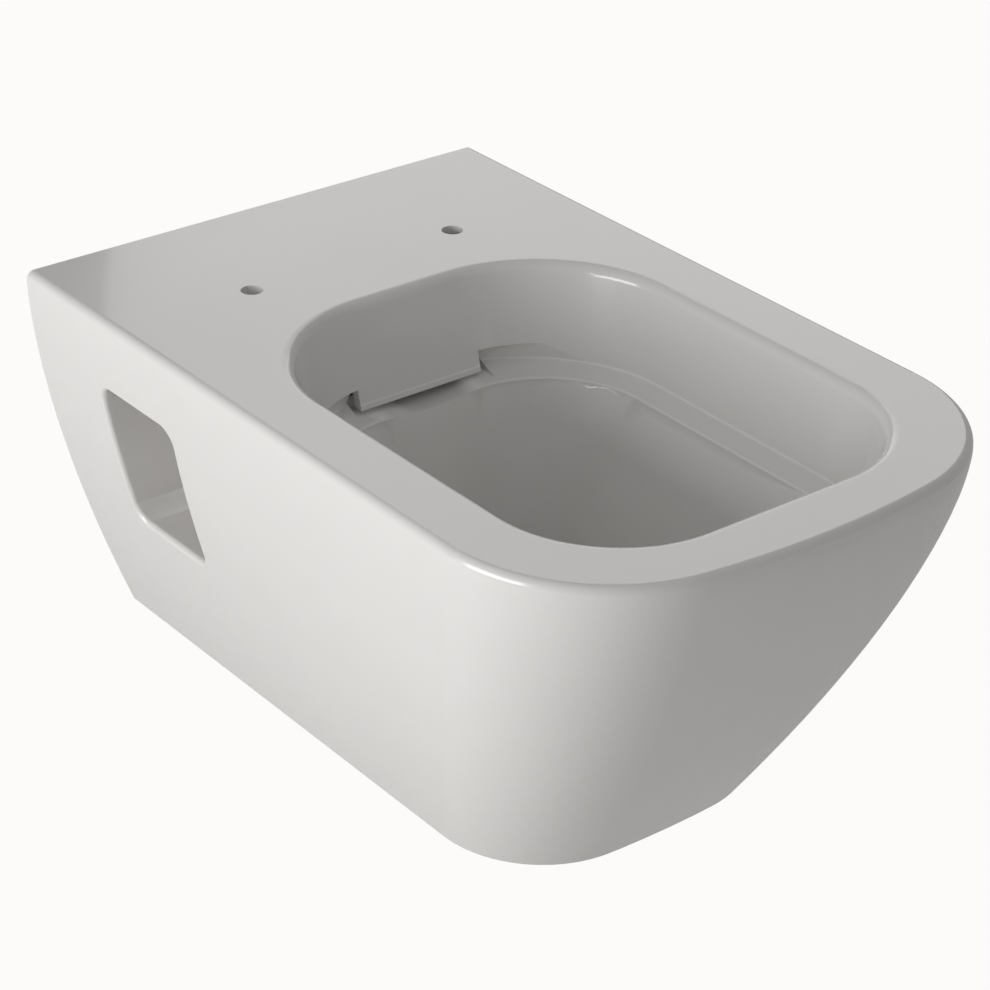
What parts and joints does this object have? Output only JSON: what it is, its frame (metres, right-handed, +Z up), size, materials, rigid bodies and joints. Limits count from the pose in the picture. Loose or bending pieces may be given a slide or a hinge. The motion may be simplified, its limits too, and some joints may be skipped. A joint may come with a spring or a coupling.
{
  "type": "wall hung toilet pan",
  "caption": "Wall hung pan with a flushed ledge instead of a rim, side windows over its wall fixings, and flush and waste connections.",
  "frame": {"origin": "on the finished wall face, midway between the two wall fixings", "axes": "+X to the right as seen from the front of the pan, -Y out of the wall towards the front of the pan, +Y into the wall, +Z up"},
  "size_m": [0.35, 0.6, 0.26],
  "materials": {
    "china": "glossy white glaze",
    "flush_pipe": "smooth dark grey polyethylene",
    "waste_connector": "smooth dark grey polyethylene",
    "seal_rubber": "matt black rubber",
    "zinc_steel": "zinc plated",
    "white_plastic": "smooth white plastic"
  },
  "bodies": {
    "pan": {"china_pan": "china", "flush_pipe": "flush_pipe", "inlet_seal": "seal_rubber", "outlet_seal": "seal_rubber", "waste_connector": "waste_connector", "threaded_rod_left": "zinc_steel", "threaded_rod_right": "zinc_steel", "rod_sleeve_left": "white_plastic", "rod_sleeve_right": "white_plastic", "plastic_washer_left": "white_plastic", "plastic_washer_right": "white_plastic", "steel_washer_left": "zinc_steel", "steel_washer_right": "zinc_steel", "nut_left": "zinc_steel", "nut_right": "zinc_steel"},
    "left_cap": {"cover_cap_left": "white_plastic"},
    "right_cap": {"cover_cap_right": "white_plastic"}
  },
  "joints": [
    {"name": "left_cap_pull", "type": "slide", "parent": "pan", "child": "left_cap", "axis": [0, -1, 0], "range_m": [0, 0.03]},
    {"name": "right_cap_pull", "type": "slide", "parent": "pan", "child": "right_cap", "axis": [0, -1, 0], "range_m": [0, 0.03]}
  ]
}
